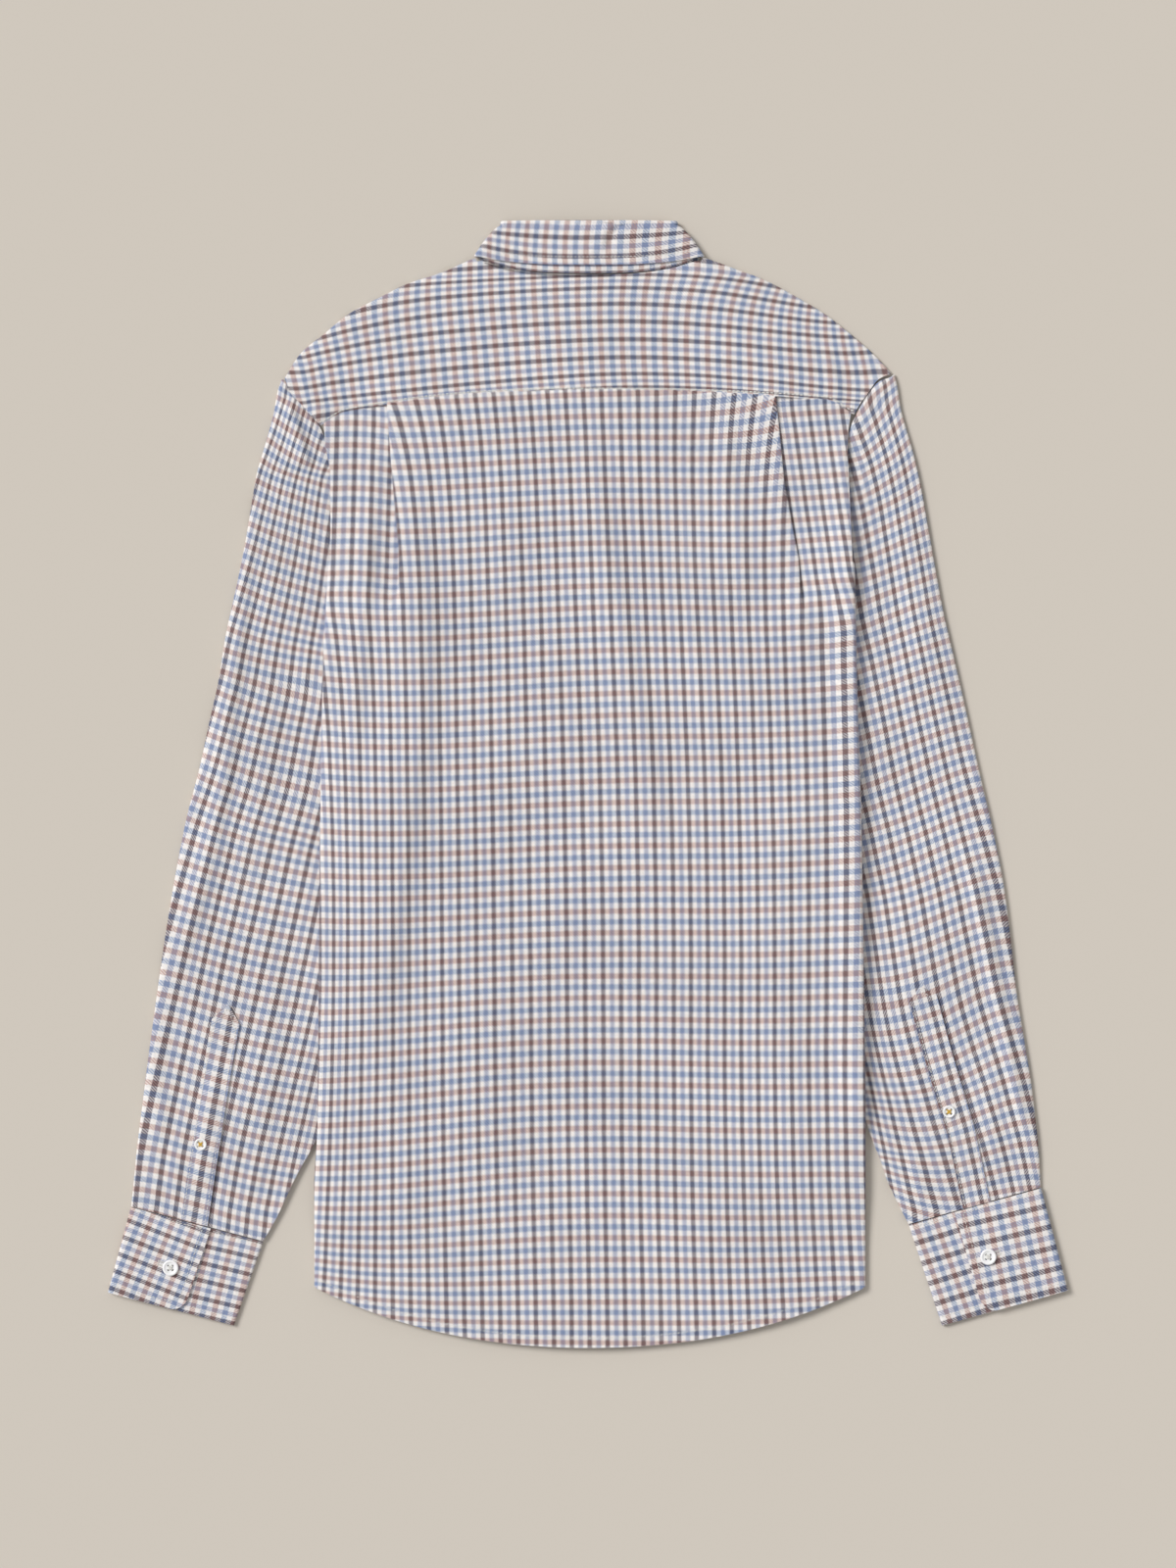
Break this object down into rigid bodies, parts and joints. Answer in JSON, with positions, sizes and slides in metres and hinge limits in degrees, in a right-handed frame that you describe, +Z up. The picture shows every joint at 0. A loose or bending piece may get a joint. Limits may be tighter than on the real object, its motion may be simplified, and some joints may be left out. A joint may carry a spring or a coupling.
{
  "type": "long-sleeved checked flannel shirt, laid face down",
  "caption": "Checked flannel shirt lying flat, back up, with turned-under sides, yoke, knife pleats, folded collar and buttoned cuffs",
  "frame": {"origin": "on the ground under the middle of the laid-out shirt", "axes": "+Y to the collar, +X to the viewer's right when looking down on the back, +Z up off the ground"},
  "size_m": [0.6852, 0.804, 0.0077],
  "materials": {
    "check_body": "brushed twill flannel, checked in cream, dark grey, blue and tan, warp lengthwise",
    "check_turned": "the same brushed twill flannel, cut with its warp across",
    "button_pearl": "pearly white four-hole buttons"
  },
  "bodies": {
    "root": {"back": "check_body", "front_left": "check_body", "front_right": "check_body", "placket": "check_body", "button_band": "check_body", "sleeve_left": "check_body", "sleeve_right": "check_body", "gauntlet_left": "check_body", "gauntlet_right": "check_body", "yoke": "check_turned", "collar_leaf": "check_turned", "collar_stand": "check_turned", "cuff_left": "check_turned", "cuff_right": "check_turned", "cuff_button_left": "button_pearl", "cuff_button_right": "button_pearl", "gauntlet_button_left": "button_pearl", "gauntlet_button_right": "button_pearl", "front_button_1": "button_pearl", "front_button_2": "button_pearl", "front_button_3": "button_pearl", "front_button_4": "button_pearl", "front_button_5": "button_pearl", "front_button_6": "button_pearl", "front_button_7": "button_pearl"}
  },
  "joints": []
}
